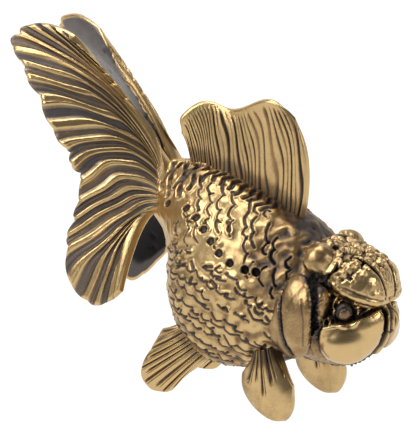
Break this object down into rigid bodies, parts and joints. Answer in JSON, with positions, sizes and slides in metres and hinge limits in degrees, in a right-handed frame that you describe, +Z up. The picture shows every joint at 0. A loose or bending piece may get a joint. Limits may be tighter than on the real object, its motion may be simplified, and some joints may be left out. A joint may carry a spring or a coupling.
{
  "type": "fish figurine",
  "caption": "Cast brass goldfish ornament with a hooded head and twin tail, standing nose down on its lower fins.",
  "frame": {"origin": "on the surface it stands on, under the middle of the whole fish's box", "axes": "+X the way the fish faces, +Y its left, +Z up; its nose points down at 23 degrees"},
  "size_m": [0.0618, 0.0216, 0.052],
  "materials": {
    "body_brass": "satin polish over brown patina, engraved scales",
    "head_brass": "polished cheeks, dark patina round the eyes",
    "hood_brass": "satin polish over brown patina, beaded",
    "gill_brass": "polished plate, dark at its edges",
    "eye_brass": "polished bead",
    "back_fin_brass": "satin ridges, dark grooves, bright rim",
    "tail_brass": "bright ridges, near black grooves, slate inner faces",
    "leg_fin_brass": "bright ridges, dark grooves"
  },
  "bodies": {
    "root": {"body": "body_brass", "head": "head_brass", "hood": "hood_brass", "gill_cover_left": "gill_brass", "gill_cover_right": "gill_brass", "eye_left": "eye_brass", "eye_right": "eye_brass", "dorsal_fin": "back_fin_brass", "tail_fin_left": "tail_brass", "tail_fin_right": "tail_brass", "pectoral_fin_left": "leg_fin_brass", "pectoral_fin_right": "leg_fin_brass", "pelvic_fin_left": "leg_fin_brass", "pelvic_fin_right": "leg_fin_brass"}
  },
  "joints": []
}
